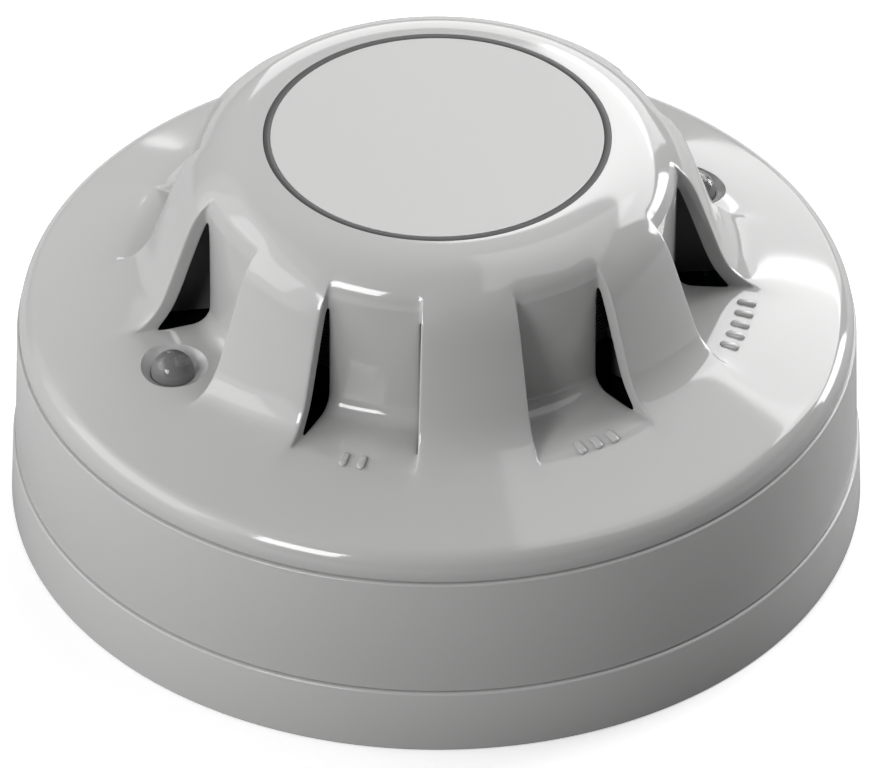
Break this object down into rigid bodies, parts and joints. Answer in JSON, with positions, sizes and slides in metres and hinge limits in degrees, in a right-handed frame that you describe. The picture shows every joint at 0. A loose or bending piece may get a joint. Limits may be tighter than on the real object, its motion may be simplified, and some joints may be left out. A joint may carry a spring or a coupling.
{
  "type": "heat detector",
  "caption": "Ceiling heat detector: a white twist-lock head with a ribbed, vented dome and clear indicator lenses, on a round wiring base.",
  "frame": {"origin": "centre of the base's mounting face, on the detector's axis", "axes": "+Z out of the ceiling towards the dome; +X through one indicator lens"},
  "size_m": [0.1, 0.1, 0.05],
  "materials": {
    "cover_white": "glossy moulded polycarbonate",
    "housing_white": "satin moulded polycarbonate",
    "base_white": "satin moulded polycarbonate",
    "ring_grey": "dark grey, matt",
    "black_plastic": "matt moulded",
    "screen_black": "satin, finely ribbed",
    "clear_lens": "clear polished acrylic",
    "lamp_epoxy": "water-clear epoxy lamp",
    "board_green": "solder-resist lacquer",
    "plated_steel": "bright zinc or nickel plating",
    "sprung_metal": "tin-plated spring bronze",
    "bead_coating": "dipped epoxy",
    "tube_glass": "drawn glass"
  },
  "bodies": {
    "base": {"mounting_base": "base_white", "contact_strip_1": "sprung_metal", "contact_strip_2": "sprung_metal", "contact_strip_3": "sprung_metal", "contact_strip_4": "sprung_metal", "contact_strip_5": "sprung_metal", "clamp_washer_1": "plated_steel", "clamp_washer_2": "plated_steel", "clamp_washer_3": "plated_steel", "clamp_washer_4": "plated_steel", "clamp_washer_5": "plated_steel"},
    "head": {"head_housing": "housing_white", "outer_cover": "cover_white", "identification_ring": "ring_grey", "chamber_tray": "black_plastic", "insect_screen": "screen_black", "circuit_board": "board_green", "controller_chip": "black_plastic", "smoothing_capacitor": "plated_steel", "reed_switch": "tube_glass", "reference_thermistor": "bead_coating", "sensing_thermistor": "bead_coating", "board_screw_1": "plated_steel", "board_screw_2": "plated_steel", "board_screw_3": "plated_steel", "contact_blade_1": "sprung_metal", "contact_blade_2": "sprung_metal", "contact_blade_3": "sprung_metal", "contact_blade_4": "sprung_metal", "light_pipe_1": "clear_lens", "indicator_lamp_1": "lamp_epoxy", "light_pipe_2": "clear_lens", "indicator_lamp_2": "lamp_epoxy"},
    "locking_screw": {"locking_screw": "plated_steel"},
    "terminal_screw_1": {"terminal_screw_1": "plated_steel"},
    "terminal_screw_2": {"terminal_screw_2": "plated_steel"},
    "terminal_screw_3": {"terminal_screw_3": "plated_steel"},
    "terminal_screw_4": {"terminal_screw_4": "plated_steel"},
    "terminal_screw_5": {"terminal_screw_5": "plated_steel"}
  },
  "joints": [
    {"name": "head_twist", "type": "hinge", "parent": "base", "child": "head", "pos_m": [0, 0, 0.015], "axis": [0, 0, 1], "range_deg": [0, 18]},
    {"name": "locking_screw_turn", "type": "hinge", "parent": "head", "child": "locking_screw", "pos_m": [0.0217, 0.03759, 0.0044], "axis": [0.5, 0.866, 0], "range_deg": [0, 1080]},
    {"name": "terminal_screw_1_turn", "type": "hinge", "parent": "base", "child": "terminal_screw_1", "pos_m": [0.02824, 0.01769, 0.0055], "axis": [0, 0, 1], "range_deg": [0, 1080]},
    {"name": "terminal_screw_2_turn", "type": "hinge", "parent": "base", "child": "terminal_screw_2", "pos_m": [-0.02232, 0.02474, 0.0055], "axis": [0, 0, 1], "range_deg": [0, 1080]},
    {"name": "terminal_screw_3_turn", "type": "hinge", "parent": "base", "child": "terminal_screw_3", "pos_m": [-0.02824, -0.01769, 0.0055], "axis": [0, 0, 1], "range_deg": [0, 1080]},
    {"name": "terminal_screw_4_turn", "type": "hinge", "parent": "base", "child": "terminal_screw_4", "pos_m": [0.02232, -0.02474, 0.0055], "axis": [0, 0, 1], "range_deg": [0, 1080]},
    {"name": "terminal_screw_5_turn", "type": "hinge", "parent": "base", "child": "terminal_screw_5", "pos_m": [-0.03292, -0.0023, 0.0055], "axis": [0, 0, 1], "range_deg": [0, 1080]}
  ]
}
